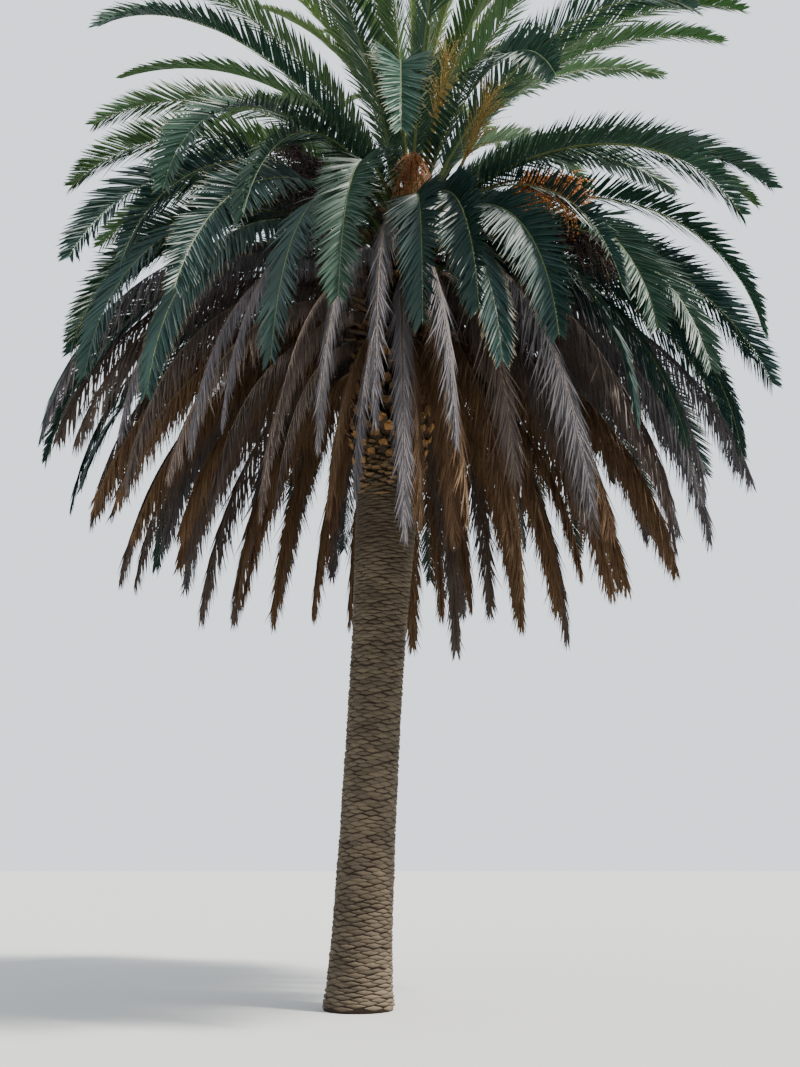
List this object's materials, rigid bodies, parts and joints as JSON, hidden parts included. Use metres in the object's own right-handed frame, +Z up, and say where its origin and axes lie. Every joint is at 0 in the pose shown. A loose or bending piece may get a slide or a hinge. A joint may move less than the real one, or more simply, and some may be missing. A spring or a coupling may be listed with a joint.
{
  "type": "canary island date palm",
  "caption": "Tall feather palm with a leaning scarred trunk, a collar of old leaf bases, a hanging skirt of dead fronds, a round green crown and fruit stalks.",
  "frame": {"origin": "centre of the flat cut under the trunk, at ground level", "axes": "+Z straight up from the level ground; the front of the picture faces -Y; the trunk leans towards +X"},
  "size_m": [10.3408, 10.3707, 16.1413],
  "materials": {
    "trunk_bark": "rough scarred bark",
    "leaf_base": "rough fibrous",
    "green_frond": "waxy satin leaf",
    "young_frond": "waxy satin leaf",
    "dead_frond": "dry matt leaf",
    "orange_fruit": "satin fruit",
    "dried_fruit": "matt shrivelled fruit"
  },
  "bodies": {
    "root": {"dead_fronds_01": "dead_frond", "dead_fronds_02": "dead_frond", "dead_fronds_03": "dead_frond", "dead_fronds_04": "dead_frond", "dead_fronds_05": "dead_frond", "dead_fronds_06": "dead_frond", "dead_fronds_07": "dead_frond", "dead_fronds_08": "dead_frond", "dead_fronds_09": "dead_frond", "dead_fronds_10": "dead_frond", "dead_fronds_11": "dead_frond", "dead_fronds_12": "dead_frond", "dead_fronds_13": "dead_frond", "dead_fronds_14": "dead_frond", "dead_fronds_15": "dead_frond", "dead_fronds_16": "dead_frond", "dead_fronds_17": "dead_frond", "dead_fronds_18": "dead_frond", "dead_fronds_19": "dead_frond", "dead_fronds_20": "dead_frond", "dead_fronds_21": "dead_frond", "dead_fronds_22": "dead_frond", "dead_fronds_23": "dead_frond", "dead_fronds_24": "dead_frond", "dried_fruit_stalk_01": "dried_fruit", "dried_fruit_stalk_02": "dried_fruit", "dried_fruit_stalk_03": "dried_fruit", "green_fronds_01": "green_frond", "green_fronds_02": "green_frond", "green_fronds_03": "green_frond", "green_fronds_04": "green_frond", "green_fronds_05": "green_frond", "green_fronds_06": "green_frond", "green_fronds_07": "green_frond", "green_fronds_08": "green_frond", "green_fronds_09": "green_frond", "green_fronds_10": "green_frond", "green_fronds_11": "green_frond", "green_fronds_12": "green_frond", "green_fronds_13": "green_frond", "green_fronds_14": "green_frond", "green_fronds_15": "green_frond", "green_fronds_16": "green_frond", "green_fronds_17": "green_frond", "green_fronds_18": "green_frond", "green_fronds_19": "green_frond", "green_fronds_20": "green_frond", "green_fronds_21": "green_frond", "green_fronds_22": "green_frond", "green_fronds_23": "green_frond", "green_fronds_24": "green_frond", "heart_fronds": "young_frond", "leaf_base_collar": "leaf_base", "orange_fruit_stalk_01": "orange_fruit", "orange_fruit_stalk_02": "orange_fruit", "orange_fruit_stalk_03": "orange_fruit", "orange_fruit_stalk_04": "orange_fruit", "orange_fruit_stalk_05": "orange_fruit", "orange_fruit_stalk_06": "orange_fruit", "trunk": "trunk_bark"}
  },
  "joints": []
}
